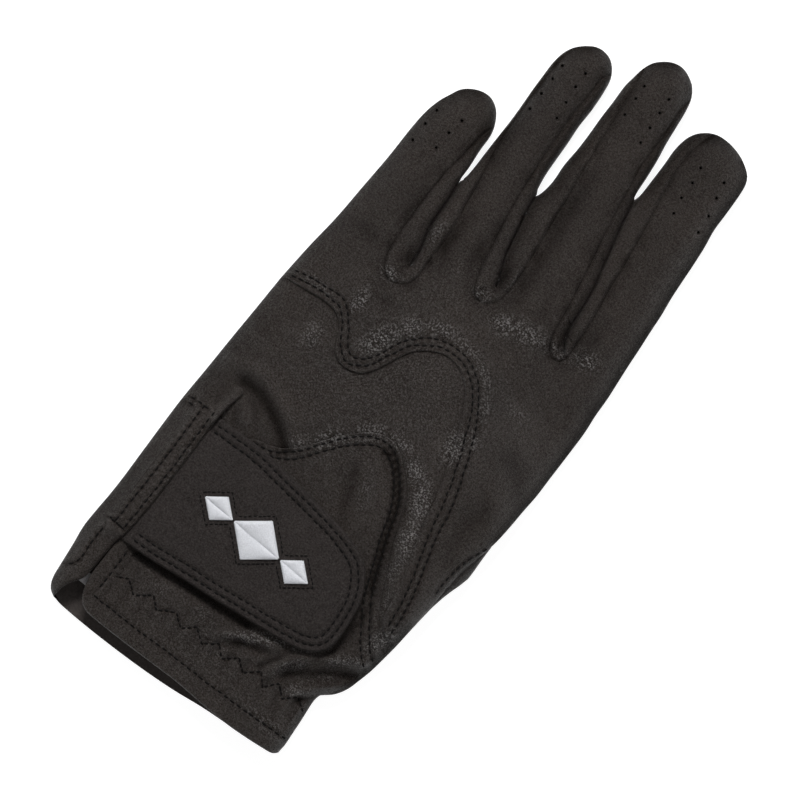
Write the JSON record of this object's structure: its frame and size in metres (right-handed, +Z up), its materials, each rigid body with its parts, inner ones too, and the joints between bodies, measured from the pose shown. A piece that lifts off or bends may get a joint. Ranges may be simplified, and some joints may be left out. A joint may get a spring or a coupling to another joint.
{
  "type": "golf glove",
  "caption": "Left-hand golf glove lying back up, with a hook-and-loop wrist tab over a slit, wavy overlapped back panels, gusseted fingers and the thumb folded under the palm.",
  "frame": {"origin": "centre of the glove's footprint, on the surface it lies on", "axes": "+Y towards the fingertips, +X towards the index finger and thumb, +Z up out of the back of the hand"},
  "size_m": [0.0966, 0.2278, 0.017],
  "materials": {
    "leather": "fine-grained soft leather, dark charcoal",
    "tab_leather": "matte suede-like synthetic leather, dark charcoal",
    "lining": "knitted lining",
    "elastic": "ribbed elastic tape",
    "label": "white satin tape, bare",
    "loop_pile": "brushed loop pile",
    "hook_tape": "moulded hook tape",
    "motif_thread": "white satin-stitch embroidery"
  },
  "bodies": {
    "hand": {"palm_panel": "leather", "knuckle_panel": "leather", "middle_back_panel": "leather", "wrist_panel": "leather", "slit_facing": "leather", "wrist_elastic": "elastic", "inner_label": "label", "loop_patch": "loop_pile", "fourchette_crotch_pinky_ring": "leather", "fourchette_crotch_ring_middle": "leather", "fourchette_crotch_middle_index": "leather"},
    "tab": {"tab_outer": "tab_leather", "tab_lining": "lining", "hook_patch": "hook_tape", "tab_motif": "motif_thread"},
    "thumb": {"thumb_front": "leather", "thumb_back": "leather"},
    "pinky_base": {"pinky_front_base": "leather", "pinky_back_base": "leather", "pinky_fourchette_thumb_side_base": "leather"},
    "pinky_tip": {"pinky_front_tip": "leather", "pinky_back_tip": "leather", "pinky_fourchette_thumb_side_tip": "leather"},
    "ring_base": {"ring_front_base": "leather", "ring_back_base": "leather", "ring_fourchette_pinky_side_base": "leather", "ring_fourchette_thumb_side_base": "leather"},
    "ring_tip": {"ring_front_tip": "leather", "ring_back_tip": "leather", "ring_fourchette_pinky_side_tip": "leather", "ring_fourchette_thumb_side_tip": "leather"},
    "middle_base": {"middle_front_base": "leather", "middle_back_base": "leather", "middle_fourchette_pinky_side_base": "leather", "middle_fourchette_thumb_side_base": "leather"},
    "middle_tip": {"middle_front_tip": "leather", "middle_back_tip": "leather", "middle_fourchette_pinky_side_tip": "leather", "middle_fourchette_thumb_side_tip": "leather"},
    "index_base": {"index_front_base": "leather", "index_back_base": "leather", "index_fourchette_pinky_side_base": "leather"},
    "index_tip": {"index_front_tip": "leather", "index_back_tip": "leather", "index_fourchette_pinky_side_tip": "leather"}
  },
  "joints": [
    {"name": "tab_lift", "type": "hinge", "parent": "hand", "child": "tab", "pos_m": [-0.03665, -0.06585, 0.01265], "axis": [-0.0299, -0.9996, 0], "range_deg": [0, 160]},
    {"name": "thumb_unfold", "type": "hinge", "parent": "hand", "child": "thumb", "pos_m": [0.0453, -0.04565, 0.00645], "axis": [-0.1333, -0.9911, 0], "range_deg": [0, 175]},
    {"name": "pinky_knuckle_bend", "type": "hinge", "parent": "hand", "child": "pinky_base", "pos_m": [-0.03365, 0.02685, 0], "axis": [-1, 0, 0], "range_deg": [0, 80]},
    {"name": "pinky_middle_bend", "type": "hinge", "parent": "pinky_base", "child": "pinky_tip", "pos_m": [-0.03325, 0.04785, 0], "axis": [-1, 0, 0], "range_deg": [0, 90]},
    {"name": "ring_knuckle_bend", "type": "hinge", "parent": "hand", "child": "ring_base", "pos_m": [-0.01105, 0.03285, 0], "axis": [-0.9971, -0.0767, 0], "range_deg": [0, 80]},
    {"name": "ring_middle_bend", "type": "hinge", "parent": "ring_base", "child": "ring_tip", "pos_m": [-0.01355, 0.06585, 0], "axis": [-0.9971, -0.0767, 0], "range_deg": [0, 90]},
    {"name": "middle_knuckle_bend", "type": "hinge", "parent": "hand", "child": "middle_base", "pos_m": [0.01335, 0.03385, 0], "axis": [-0.9945, -0.1045, 0], "range_deg": [0, 80]},
    {"name": "middle_middle_bend", "type": "hinge", "parent": "middle_base", "child": "middle_tip", "pos_m": [0.00855, 0.07185, 0], "axis": [-0.9945, -0.1045, 0], "range_deg": [0, 90]},
    {"name": "index_knuckle_bend", "type": "hinge", "parent": "hand", "child": "index_base", "pos_m": [0.03715, 0.03385, 0], "axis": [-0.9951, -0.0993, 0], "range_deg": [0, 80]},
    {"name": "index_middle_bend", "type": "hinge", "parent": "index_base", "child": "index_tip", "pos_m": [0.03335, 0.06585, 0], "axis": [-0.9951, -0.0993, 0], "range_deg": [0, 90]}
  ]
}
